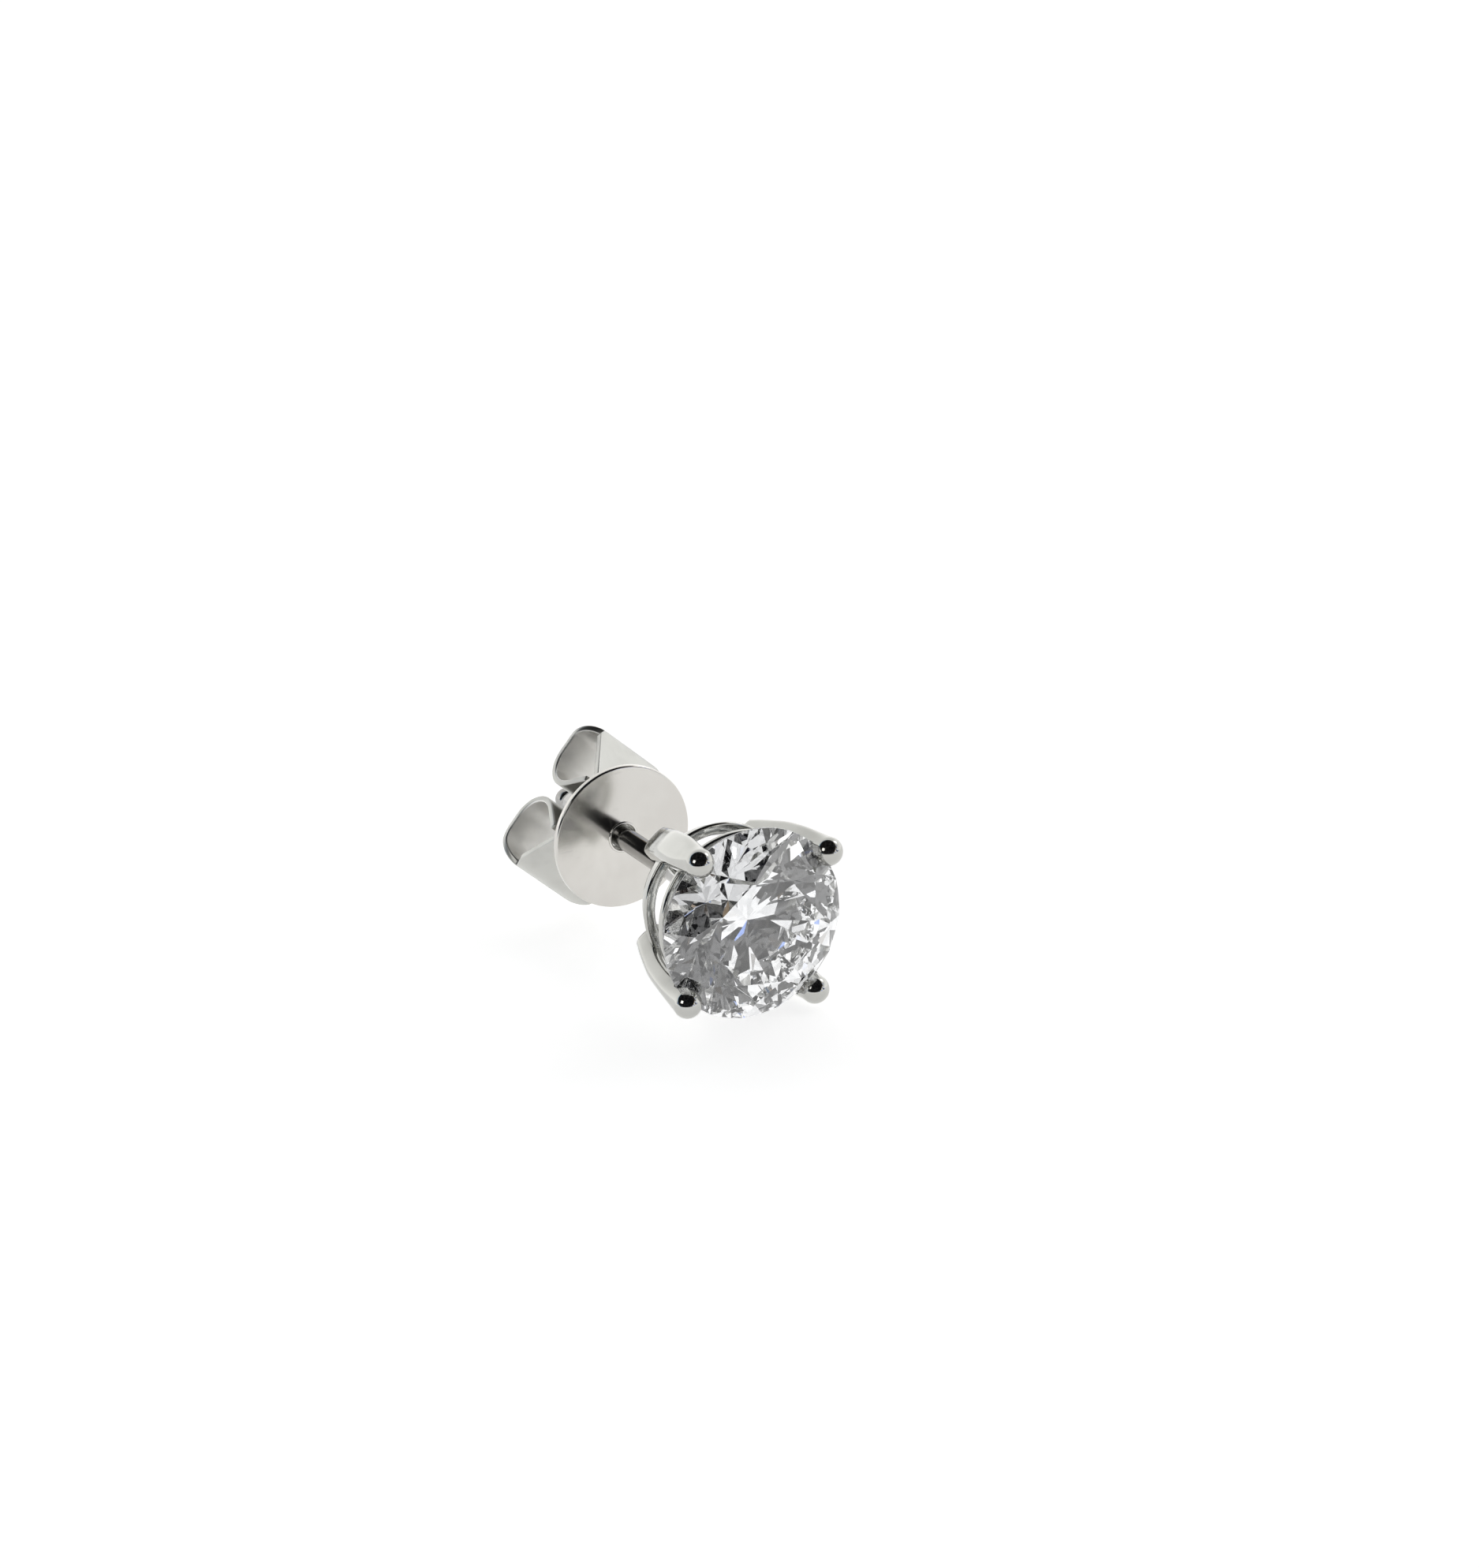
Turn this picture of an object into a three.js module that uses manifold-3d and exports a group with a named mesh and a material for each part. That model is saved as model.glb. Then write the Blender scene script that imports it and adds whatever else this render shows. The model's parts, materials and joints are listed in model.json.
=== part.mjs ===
import * as THREE from 'three';
import { mergeVertices } from 'three/addons/utils/BufferGeometryUtils.js';
import Module from 'manifold-3d';

// A stud earring lying as it rests by itself: a round brilliant in a four-claw basket on a straight post,
// with a butterfly back pushed onto the post. Millimetres, +Z up. The stone faces -Y and the post runs
// along +Y. Each piece is drawn along its own axis first: height 0 is the front of the back's disc, and
// heights grow towards the stone.

// Stone, with the usual proportions of a well-cut round brilliant
const stoneDiameter = 6.5;
const crownAngle = THREE.MathUtils.degToRad(34.5);
const pavilionAngle = THREE.MathUtils.degToRad(40.75);
const girdleThickness = 0.14;
const tableShare = 0.57;
const starShare = 0.52;
const lowerHalfShare = 0.77;
const mainFacets = 8;
const girdleSides = 96;
const stoneTurn = THREE.MathUtils.degToRad(22.5);

// Basket and its claws
const clawCount = 4;
const clawWidth = 1.14;
const clawDepth = 0.78;
const clawTipRadius = 0.485;
const tipOutsideGirdle = 0.12;
const tipAboveGirdle = 0.33;
const footOuterRadius = 2.9;
const clawEdgeRounding = 0.14;
const stoneClearance = 0.03;
const crossBarWidth = 0.8;
const crossBarThickness = 0.46;
const crossBarRecess = 0.06;
const culetGap = 0.06;
const baseRailRise = 0.3;
const baseRailHeight = 0.78;
const baseRailThickness = 0.4;
const baseRailFrontRadius = 2.66;
const baseRailFlare = 0.27;
const galleryRailInset = 0.37;
const galleryRailThickness = 0.34;
const galleryRailHeight = 0.25;
const galleryRailDrop = 0.9;
const railRounding = 0.09;

// Post
const postDiameter = 0.78;
const barePostLength = 5.6;
const postBehindBack = 0.9;
const postTipRounding = 0.22;
const postNotchFromTip = 0.6;
const postNotchWidth = 0.26;
const postNotchDepth = 0.05;
const postCollarDiameter = 1.3;
const postCollarHeight = 0.16;

// Butterfly back
const discDiameter = 5.12;
const discThickness = 0.26;
const discEdgeRounding = 0.07;
const holeClearance = 0.07;
const holeRimWidth = 0.1;
const holeRimHeight = 0.05;
const stripWidth = 3.56;
const stripThickness = 0.22;
const stripCornerRadius = 0.55;
const bendRadius = 0.6;
const innerCurlRadius = 0.96;
const upperSeat = 0.71;
const upperFall = THREE.MathUtils.degToRad(51);
const upperCurlRadius = 0.71;
const upperBackRun = 0.61;
const upperGap = 0.21;
const lowerSeat = 0.83;
const lowerFall = THREE.MathUtils.degToRad(43.5);
const lowerCurlRadius = 0.96;
const lowerBackRun = 0.44;
const lowerGap = 0.34;
const gripClearance = 0.03;
const freeEndLean = THREE.MathUtils.degToRad(30);
const freeEndLength = 0.95;
const backTurn = THREE.MathUtils.degToRad(55);
const solderOverlap = 0.03;

// Smoothness of the round forms
const ringSegments = 60;
const postSegments = 32;
const clawSectionPoints = 18;
const tipRings = 5;
const curlSegments = 15;
const bendSegments = 4;
const roundingSteps = 3;

// Heights that the pieces share
const stoneRadius = stoneDiameter / 2;
const postRadius = postDiameter / 2;
const discRadius = discDiameter / 2;
const pavilionDepth = stoneRadius * Math.tan(pavilionAngle);
const crossBarBack = barePostLength + crossBarRecess;
const girdleBottom = crossBarBack + crossBarThickness + culetGap + pavilionDepth;
const girdleTop = girdleBottom + girdleThickness;
const crownHeight = stoneRadius * (1 - tableShare) * Math.tan(crownAngle);
const tipHeight = girdleTop + tipAboveGirdle;
const tipCircleRadius = stoneRadius + tipOutsideGirdle;
const gripRadius = postRadius + gripClearance;
const holeRadius = postRadius + holeClearance;
const holeDepth = discThickness + 2 * stripThickness;
const stripSeatHeight = solderOverlap - discThickness - stripThickness / 2;

// A scroll's middle line is a bend off the disc, an outer curl and an inner curl beside the post, all
// turning the same way, with straight runs between them. Centres are [across the post, height].
function scrollAt(seat, fall, outerRadius, backRun, gap) {
  const circle = (across, height, radius) => ({ centre: new THREE.Vector2(across, height), radius });
  const innerAcross = gap + stripThickness / 2 + innerCurlRadius;
  const outerAcross = innerAcross + backRun;
  const outerHeight = stripSeatHeight - (outerRadius + (outerAcross - seat) * Math.sin(fall)) / Math.cos(fall);
  return {
    fall,
    bend: circle(seat - bendRadius * Math.tan(fall / 2), stripSeatHeight - bendRadius, bendRadius),
    outer: circle(outerAcross, outerHeight, outerRadius),
    inner: circle(innerAcross, outerHeight - outerRadius + innerCurlRadius, innerCurlRadius),
  };
}

const upperScroll = scrollAt(upperSeat, upperFall, upperCurlRadius, upperBackRun, upperGap);
const lowerScroll = scrollAt(lowerSeat, lowerFall, lowerCurlRadius, lowerBackRun, lowerGap);
const scrollReach = ({ outer }) => outer.centre.x + outer.radius + stripThickness / 2;
const scrollDepth = ({ outer }) => outer.radius + stripThickness / 2 - outer.centre.y;
const backDepth = Math.max(scrollDepth(upperScroll), scrollDepth(lowerScroll));

const wasm = await Module();
wasm.setup();

const sweep = (from, to, steps) =>
  Array.from({ length: steps + 1 }, (_, i) => from + ((to - from) * i) / steps);

function weld(geometry) {
  geometry.deleteAttribute('normal');
  geometry.deleteAttribute('uv');
  return mergeVertices(geometry, 1e-5);
}

function solidOf(geometry) {
  const welded = weld(geometry);
  const vertProperties = new Float32Array(welded.attributes.position.array);
  const triVerts = new Uint32Array(welded.index.array);
  return new wasm.Manifold(new wasm.Mesh({ numProp: 3, vertProperties, triVerts }));
}

function geometryOf(solid) {
  const mesh = solid.getMesh();
  const geometry = new THREE.BufferGeometry();
  geometry.setAttribute('position', new THREE.BufferAttribute(new Float32Array(mesh.vertProperties), 3));
  geometry.setIndex(new THREE.BufferAttribute(new Uint32Array(mesh.triVerts), 1));
  return geometry;
}

const fuse = (solids) => solids.reduce((sum, solid) => sum.add(solid));

// Turns a closed profile of [radius, height] points around the axis
function turned(profile, segments) {
  const points = [...profile, profile[0]].map(([radius, height]) => new THREE.Vector2(radius, height));
  const geometry = new THREE.LatheGeometry(points, segments);
  return geometry.rotateX(Math.PI / 2);
}

// A solid rod around the axis whose profile starts and ends on it
function rod(profile, segments) {
  const points = profile.map(([radius, height]) => new THREE.Vector2(radius, height));
  const geometry = new THREE.LatheGeometry(points, segments);
  return geometry.rotateX(Math.PI / 2);
}

// A quarter round from one corner direction to the next, as [radius, height] points
function rounding(centreRadius, centreHeight, size, fromAngle, toAngle) {
  return sweep(fromAngle, toAngle, roundingSteps)
    .map((angle) => [centreRadius + size * Math.cos(angle), centreHeight + size * Math.sin(angle)]);
}

// Stone: the body inside its facet planes, each plane given by its outward normal and its distance
function facetPlane(a, b, c, inside) {
  const plane = new THREE.Plane().setFromCoplanarPoints(a, b, c);
  return plane.distanceToPoint(inside) > 0 ? plane.negate() : plane;
}

function brilliantPlanes() {
  const step = (2 * Math.PI) / mainFacets;
  const at = (radius, azimuth, height) =>
    new THREE.Vector3(radius * Math.cos(azimuth), radius * Math.sin(azimuth), height);
  const inside = at(0, 0, (girdleBottom + girdleTop) / 2);
  const tableHeight = girdleTop + crownHeight;
  const tableRadius = stoneRadius * tableShare;
  const culet = at(0, 0, girdleBottom - pavilionDepth);
  const halfCos = Math.cos(step / 2);
  const starStart = tableRadius * halfCos;
  const starTip = starStart + (stoneRadius - starStart) * starShare;
  const starHeight = tableHeight - (starTip * halfCos - tableRadius) * Math.tan(crownAngle);
  const halfTip = stoneRadius * (1 - lowerHalfShare);
  const halfHeight = culet.z + halfTip * halfCos * Math.tan(pavilionAngle);
  const planes = [new THREE.Plane(new THREE.Vector3(0, 0, 1), -tableHeight)];
  for (let k = 0; k < mainFacets; k += 1) {
    const main = k * step;
    const half = main + step / 2;
    const next = main + step;
    const star = at(starTip, half, starHeight);
    const tableCorner = at(tableRadius, main, tableHeight);
    const girdleMain = at(stoneRadius, main, girdleTop);
    const girdleHalf = at(stoneRadius, half, girdleTop);
    const girdleNext = at(stoneRadius, next, girdleTop);
    planes.push(facetPlane(tableCorner, star, at(starTip, main - step / 2, starHeight), inside));
    planes.push(facetPlane(tableCorner, at(tableRadius, next, tableHeight), star, inside));
    planes.push(facetPlane(star, girdleMain, girdleHalf, inside));
    planes.push(facetPlane(star, girdleHalf, girdleNext, inside));
    const lower = at(halfTip, half, halfHeight);
    const rimMain = at(stoneRadius, main, girdleBottom);
    const rimHalf = at(stoneRadius, half, girdleBottom);
    const rimNext = at(stoneRadius, next, girdleBottom);
    planes.push(facetPlane(culet, lower, at(halfTip, main - step / 2, halfHeight), inside));
    planes.push(facetPlane(lower, rimMain, rimHalf, inside));
    planes.push(facetPlane(lower, rimHalf, rimNext, inside));
  }
  for (let side = 0; side < girdleSides; side += 1) {
    const azimuth = ((side + 0.5) * 2 * Math.PI) / girdleSides;
    const flat = stoneRadius * Math.cos(Math.PI / girdleSides);
    planes.push(new THREE.Plane(new THREE.Vector3(Math.cos(azimuth), Math.sin(azimuth), 0), -flat));
  }
  return planes;
}

// Corner points are where three planes meet inside all the others; points closer than this are one
const sameCorner = 1e-4;

function planeCorners(planes) {
  const corners = [];
  const crossing = new THREE.Vector3();
  const matrix = new THREE.Matrix3();
  for (let i = 0; i < planes.length; i += 1) {
    for (let j = i + 1; j < planes.length; j += 1) {
      for (let k = j + 1; k < planes.length; k += 1) {
        const [p, q, r] = [planes[i], planes[j], planes[k]];
        matrix.set(...p.normal, ...q.normal, ...r.normal);
        if (Math.abs(matrix.determinant()) < sameCorner) continue;
        crossing.set(-p.constant, -q.constant, -r.constant).applyMatrix3(matrix.invert());
        const outside = planes.some((plane) => plane.distanceToPoint(crossing) > sameCorner / 2);
        if (!outside && !corners.some((corner) => corner.distanceTo(crossing) < sameCorner * 5)) {
          corners.push(crossing.clone());
        }
      }
    }
  }
  return corners;
}

function convexBody(planes) {
  const corners = planeCorners(planes);
  const index = [];
  for (const plane of planes) {
    const ring = corners.map((corner, i) => i)
      .filter((i) => Math.abs(plane.distanceToPoint(corners[i])) < sameCorner * 2);
    if (ring.length < 3) continue;
    const centre = ring.reduce((sum, i) => sum.add(corners[i]), new THREE.Vector3()).divideScalar(ring.length);
    const u = corners[ring[0]].clone().sub(centre).normalize();
    const v = new THREE.Vector3().crossVectors(plane.normal, u);
    const turn = (i) => {
      const arm = corners[i].clone().sub(centre);
      return Math.atan2(arm.dot(v), arm.dot(u));
    };
    ring.sort((a, b) => turn(a) - turn(b));
    for (let i = 1; i + 1 < ring.length; i += 1) index.push(ring[0], ring[i], ring[i + 1]);
  }
  const geometry = new THREE.BufferGeometry();
  geometry.setAttribute('position', new THREE.Float32BufferAttribute(corners.flatMap((c) => [...c]), 3));
  geometry.setIndex(index);
  return geometry;
}

// The room that the claws leave for the stone: its outline turned round, with clearance all over
function stoneRoom() {
  const radius = (stoneRadius + stoneClearance) / Math.cos(Math.PI / girdleSides);
  const below = girdleBottom - stoneClearance;
  const above = girdleTop + stoneClearance;
  const tableRadius = stoneRadius * tableShare;
  return solidOf(rod([
    [0, below - radius * Math.tan(pavilionAngle)],
    [radius, below],
    [radius, above],
    [tableRadius, above + (radius - tableRadius) * Math.tan(crownAngle)],
    [0, above + (radius - tableRadius) * Math.tan(crownAngle)],
  ], girdleSides));
}

// Claws: a stack of rounded sections from the foot to the tip. Each row is a share of the height from
// the foot to the tip, and a share of the way out from the foot's outer radius to the tip's.
const clawProfile = [
  { up: 0, out: 0 },
  { up: 0.1, out: 0.17 },
  { up: 0.24, out: 0.37 },
  { up: 0.42, out: 0.6 },
  { up: 0.68, out: 0.79 },
  { up: 1, out: 1 },
];
const clawRings = 12;
const bodySquareness = 3.4;
const tipSquareness = 2;
const tipBlendStart = 0.6;

function sectionRing(centreRadius, height, halfDepth, halfWidth, squareness) {
  return sweep(0, 2 * Math.PI, clawSectionPoints).slice(0, -1).map((angle) => {
    const bulge = (value) => Math.sign(value) * Math.abs(value) ** (2 / squareness);
    const outward = centreRadius + halfDepth * bulge(Math.cos(angle));
    return new THREE.Vector3(outward, halfWidth * bulge(Math.sin(angle)), height);
  });
}

function stackOfRings(rings, start, end) {
  const points = [start, ...rings.flat(), end];
  const count = rings[0].length;
  const index = [];
  const at = (ring, i) => 1 + ring * count + (i % count);
  for (let i = 0; i < count; i += 1) {
    index.push(0, at(0, i + 1), at(0, i));
    for (let ring = 0; ring + 1 < rings.length; ring += 1) {
      index.push(at(ring, i), at(ring, i + 1), at(ring + 1, i + 1));
      index.push(at(ring, i), at(ring + 1, i + 1), at(ring + 1, i));
    }
    index.push(at(rings.length - 1, i), at(rings.length - 1, i + 1), points.length - 1);
  }
  const geometry = new THREE.BufferGeometry();
  geometry.setAttribute('position', new THREE.Float32BufferAttribute(points.flatMap((p) => [...p]), 3));
  geometry.setIndex(index);
  return geometry;
}

function claw() {
  const tipOuter = tipCircleRadius + clawTipRadius;
  const fullHeight = barePostLength + clawEdgeRounding;
  const spine = new THREE.SplineCurve(clawProfile.map((row) => new THREE.Vector2(
    fullHeight + row.up * (tipHeight - fullHeight),
    footOuterRadius + row.out * (tipOuter - footOuterRadius),
  )));
  const rings = sweep(0, 1, clawRings).map((share) => {
    const point = spine.getPoint(share);
    const blend = THREE.MathUtils.smoothstep(share, tipBlendStart, 1);
    const halfDepth = THREE.MathUtils.lerp(clawDepth / 2, clawTipRadius, blend);
    const halfWidth = THREE.MathUtils.lerp(clawWidth / 2, clawTipRadius, blend);
    const squareness = THREE.MathUtils.lerp(bodySquareness, tipSquareness, blend);
    return sectionRing(point.y - halfDepth, point.x, halfDepth, halfWidth, squareness);
  });
  const footCentre = footOuterRadius - clawDepth / 2;
  const foot = sectionRing(footCentre, barePostLength, clawDepth / 2 - clawEdgeRounding,
    clawWidth / 2 - clawEdgeRounding, bodySquareness);
  const dome = sweep(0, Math.PI / 2, tipRings).slice(1, -1).map((angle) => {
    const size = clawTipRadius * Math.cos(angle);
    return sectionRing(tipCircleRadius, tipHeight + clawTipRadius * Math.sin(angle), size, size, tipSquareness);
  });
  const start = new THREE.Vector3(footCentre, 0, barePostLength);
  const end = new THREE.Vector3(tipCircleRadius, 0, tipHeight + clawTipRadius);
  return stackOfRings([foot, ...rings, ...dome], start, end);
}

const clawAngle = (i) => ((i + 0.5) * 2 * Math.PI) / clawCount;

// Rails: rings of rounded section between the claws, the rear one flared like the basket
function rail(backHeight, height, backRadius, frontRadius, thickness) {
  const frontHeight = backHeight + height;
  const quarter = Math.PI / 2;
  const r = railRounding;
  return solidOf(turned([
    ...rounding(backRadius - thickness + r, backHeight + r, r, -2 * quarter, -quarter),
    ...rounding(backRadius - r, backHeight + r, r, -quarter, 0),
    ...rounding(frontRadius - r, frontHeight - r, r, 0, quarter),
    ...rounding(frontRadius - thickness + r, frontHeight - r, r, quarter, 2 * quarter),
  ], ringSegments));
}

function crossBar(i) {
  const reach = footOuterRadius - clawDepth / 2;
  const bar = new THREE.BoxGeometry(reach, crossBarWidth, crossBarThickness);
  bar.translate(reach / 2, 0, crossBarBack + crossBarThickness / 2);
  return solidOf(bar.rotateZ(clawAngle(i)));
}

function post() {
  const tip = -(backDepth + postBehindBack);
  const root = crossBarBack + crossBarThickness / 2;
  const collarBack = crossBarBack - postCollarHeight;
  const notch = tip + postNotchFromTip;
  const shaft = rod([
    [0, tip],
    ...rounding(postRadius - postTipRounding, tip + postTipRounding, postTipRounding, -Math.PI / 2, 0),
    [postRadius, notch - postNotchWidth / 2],
    [postRadius - postNotchDepth, notch - postNotchWidth / 4],
    [postRadius - postNotchDepth, notch + postNotchWidth / 4],
    [postRadius, notch + postNotchWidth / 2],
    [postRadius, root],
    [0, root],
  ], postSegments);
  const collar = rod([
    [0, collarBack],
    [postRadius, collarBack],
    [postCollarDiameter / 2, crossBarBack],
    [postCollarDiameter / 2, root],
    [0, root],
  ], postSegments);
  return solidOf(shaft).add(solidOf(collar));
}

function settingSolid() {
  const claws = Array.from({ length: clawCount }, (_, i) => solidOf(claw().rotateZ(clawAngle(i))));
  const bars = Array.from({ length: clawCount }, (_, i) => crossBar(i));
  const baseRail = rail(barePostLength + baseRailRise, baseRailHeight, baseRailFrontRadius - baseRailFlare,
    baseRailFrontRadius, baseRailThickness);
  const galleryRailRadius = stoneRadius - galleryRailInset;
  const galleryRail = rail(girdleBottom - galleryRailDrop - galleryRailHeight / 2, galleryRailHeight,
    galleryRailRadius, galleryRailRadius, galleryRailThickness);
  return fuse([...claws, ...bars, baseRail, galleryRail]).subtract(stoneRoom()).add(post());
}

// One side of a scroll's outline, from the strip's seat on the disc to its free end. The offset is the
// side's distance from the middle line.
function stripSide(scroll, offset) {
  const quarter = Math.PI / 2;
  const arc = ({ centre, radius }, from, to, steps) => sweep(from, to, steps).map((angle) => new THREE.Vector2(
    centre.x + (radius + offset) * Math.cos(angle),
    centre.y + (radius + offset) * Math.sin(angle),
  ));
  const bends = [
    ...arc(scroll.bend, quarter, quarter - scroll.fall, bendSegments),
    ...arc(scroll.outer, quarter - scroll.fall, -quarter, curlSegments),
    ...arc(scroll.inner, -quarter, -Math.PI - freeEndLean, curlSegments),
  ];
  const freeEnd = new THREE.Vector2(Math.sin(freeEndLean), Math.cos(freeEndLean)).multiplyScalar(freeEndLength);
  return [...bends, bends[bends.length - 1].clone().add(freeEnd)];
}

// The whole strip, bent on both sides of the post and cut with rounded corners
function scrollStrip() {
  const half = stripThickness / 2;
  const mirrored = (points) => points.map((point) => new THREE.Vector2(-point.x, point.y));
  const outline = new THREE.Shape([
    ...mirrored(stripSide(lowerScroll, half)).reverse(),
    ...stripSide(upperScroll, half),
    ...stripSide(upperScroll, -half).reverse(),
    ...mirrored(stripSide(lowerScroll, -half)),
  ]);
  const width = stripWidth + 2 * solderOverlap;
  const bent = new THREE.ExtrudeGeometry(outline, { depth: width, bevelEnabled: false });
  bent.translate(0, 0, -width / 2);
  bent.rotateX(Math.PI / 2);
  const cut = new THREE.Shape();
  const corner = stripCornerRadius;
  const halfWidth = stripWidth / 2;
  const upperEnd = scrollReach(upperScroll);
  const lowerEnd = -scrollReach(lowerScroll);
  cut.absarc(upperEnd - corner, halfWidth - corner, corner, 0, Math.PI / 2);
  cut.absarc(lowerEnd + corner, halfWidth - corner, corner, Math.PI / 2, Math.PI);
  cut.absarc(lowerEnd + corner, corner - halfWidth, corner, Math.PI, 1.5 * Math.PI);
  cut.absarc(upperEnd - corner, corner - halfWidth, corner, 1.5 * Math.PI, 2 * Math.PI);
  const room = new THREE.ExtrudeGeometry(cut, { depth: 2 * backDepth, bevelEnabled: false, curveSegments: 8 });
  room.translate(0, 0, -1.5 * backDepth);
  return solidOf(bent).intersect(solidOf(room));
}

// The scrolls stand closer together than the post is thick, so each has a groove for it. This is what
// a sleeve round the post has inside the middle line of a scroll's inner curl, with no groove cut yet.
function grooveMetal({ inner }, side) {
  const sleeveRadius = gripRadius + stripThickness;
  const { centre, radius } = inner;
  const sleeve = rod([
    [0, centre.y - radius],
    [sleeveRadius, centre.y - radius],
    [sleeveRadius, centre.y + radius],
    [0, centre.y + radius],
  ], postSegments);
  const curl = new THREE.CylinderGeometry(radius, radius, 2 * sleeveRadius, ringSegments);
  curl.translate(side * centre.x, 0, centre.y);
  return solidOf(sleeve).intersect(solidOf(curl));
}

function butterflySolid() {
  const quarter = Math.PI / 2;
  const edge = discEdgeRounding;
  const outer = discRadius - edge;
  const disc = solidOf(rod([
    [0, -discThickness],
    ...rounding(outer, edge - discThickness, edge, -quarter, 0),
    ...rounding(outer, -edge, edge, 0, quarter),
    [holeRadius + holeRimWidth, 0],
    [holeRadius + holeRimWidth / 2, holeRimHeight],
    [0, holeRimHeight],
  ], ringSegments));
  const hole = solidOf(rod([
    [0, -2 * backDepth],
    [gripRadius, -2 * backDepth],
    [gripRadius, -holeDepth],
    [holeRadius, -holeDepth],
    [holeRadius, holeDepth],
    [0, holeDepth],
  ], postSegments));
  return fuse([disc, scrollStrip(), grooveMetal(upperScroll, 1), grooveMetal(lowerScroll, -1)]).subtract(hole);
}

// A piece in its own mesh, turned so that what points along the post to the stone points to -Y
function lyingMesh(name, geometry, look) {
  geometry.rotateX(Math.PI / 2);
  geometry.computeVertexNormals();
  const mesh = new THREE.Mesh(geometry, new THREE.MeshStandardMaterial(look));
  mesh.name = name;
  return mesh;
}

const platinumLook = { color: 0xd9d8d4, roughness: 0.16, metalness: 1 };
const diamondLook = { color: 0xf4f6f8, roughness: 0.02, metalness: 0 };

const stud = new THREE.Group();
stud.add(lyingMesh('stone', convexBody(brilliantPlanes()).rotateZ(stoneTurn), diamondLook));
stud.add(lyingMesh('setting', geometryOf(settingSolid()), platinumLook));
const back = lyingMesh('butterfly_back', geometryOf(butterflySolid()).rotateZ(backTurn), platinumLook);
const earring = new THREE.Group();
earring.add(stud, back);

// The earring lies on the girdle of its stone, rolled over until one claw tip touches the ground too. Its
// head is then tilted by the angle, found by halving, at which the back touches down as well.
const restRoll = Math.PI / clawCount - Math.acos((stoneRadius - clawTipRadius) / tipCircleRadius);
const widestTilt = Math.PI / 6;
const halvings = 24;

function settle() {
  const lowest = (piece) => new THREE.Box3().setFromObject(piece, true).min.z;
  let [down, up] = [-widestTilt, widestTilt];
  for (let i = 0; i < halvings; i += 1) {
    const tilt = (down + up) / 2;
    earring.rotation.set(-tilt, restRoll, 0);
    earring.updateMatrixWorld(true);
    if (lowest(stud) > lowest(back)) up = tilt;
    else down = tilt;
  }
}

settle();
const box = new THREE.Box3().setFromObject(earring, true);
const middle = box.getCenter(new THREE.Vector3());
earring.position.set(-middle.x, -middle.y, -box.min.z);

export default earring;
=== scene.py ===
"""A stud earring with a butterfly back, lying on a pale surface as it rests by itself.

Each piece is drawn in millimetres along the post first: x to the right and y up as seen when looking at the
stone's face, z towards the stone, and z = 0 at the front of the back's disc. The rest pose then turns it into
the object's frame, in metres.
"""

import json
import logging
import math
from dataclasses import dataclass, field
from enum import Enum
from typing import Sequence, Union

import bmesh
import bpy
from mathutils import Matrix, Vector


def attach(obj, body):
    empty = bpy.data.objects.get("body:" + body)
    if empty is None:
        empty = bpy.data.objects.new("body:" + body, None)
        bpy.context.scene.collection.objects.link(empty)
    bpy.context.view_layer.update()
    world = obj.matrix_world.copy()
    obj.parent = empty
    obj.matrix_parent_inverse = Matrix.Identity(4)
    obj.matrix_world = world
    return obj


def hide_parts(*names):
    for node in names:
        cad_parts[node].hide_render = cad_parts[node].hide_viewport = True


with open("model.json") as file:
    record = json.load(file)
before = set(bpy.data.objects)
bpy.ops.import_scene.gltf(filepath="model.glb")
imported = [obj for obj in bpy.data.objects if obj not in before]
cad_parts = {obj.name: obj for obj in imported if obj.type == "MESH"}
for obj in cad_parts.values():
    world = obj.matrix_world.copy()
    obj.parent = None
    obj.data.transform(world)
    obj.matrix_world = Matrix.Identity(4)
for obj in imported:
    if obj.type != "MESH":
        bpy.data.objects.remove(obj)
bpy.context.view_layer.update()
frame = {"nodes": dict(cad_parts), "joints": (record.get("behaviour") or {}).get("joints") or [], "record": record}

LOG = logging.getLogger("stud_earring")
MM = 0.001

Colour = tuple[float, float, float]
Profile = Sequence[tuple[float, float]]


class Body(Enum):
    """The bodies that pieces ride on."""

    STUD = "stud"
    BACK = "back"


class Node(Enum):
    """The solids that the pieces dress or stand for."""

    STONE = "stone"
    SETTING = "setting"
    BACK = "butterfly_back"


def sweep(start: float, end: float, steps: int) -> list[float]:
    """Evenly spaced values from start to end, both included."""
    return [start + (end - start) * i / steps for i in range(steps + 1)]


def smoothstep(value: float, low: float, high: float) -> float:
    """0 below low, 1 above high, and an even S between them."""
    share = min(1.0, max(0.0, (value - low) / (high - low)))
    return share * share * (3.0 - 2.0 * share)


def quarter_round(centre: tuple[float, float], size: float, start_deg: float,
                  steps: int) -> list[tuple[float, float]]:
    """A quarter circle as profile points.

    Args:
        centre: Radius and height of its centre.
        size: Its radius.
        start_deg: Direction of its first point; the last is 90 degrees further on.
        steps: Number of straight pieces.

    Returns:
        Points as (radius, height).
    """
    turns = [math.radians(a) for a in sweep(start_deg, start_deg + 90.0, steps)]
    return [(centre[0] + size * math.cos(a), centre[1] + size * math.sin(a)) for a in turns]


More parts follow.
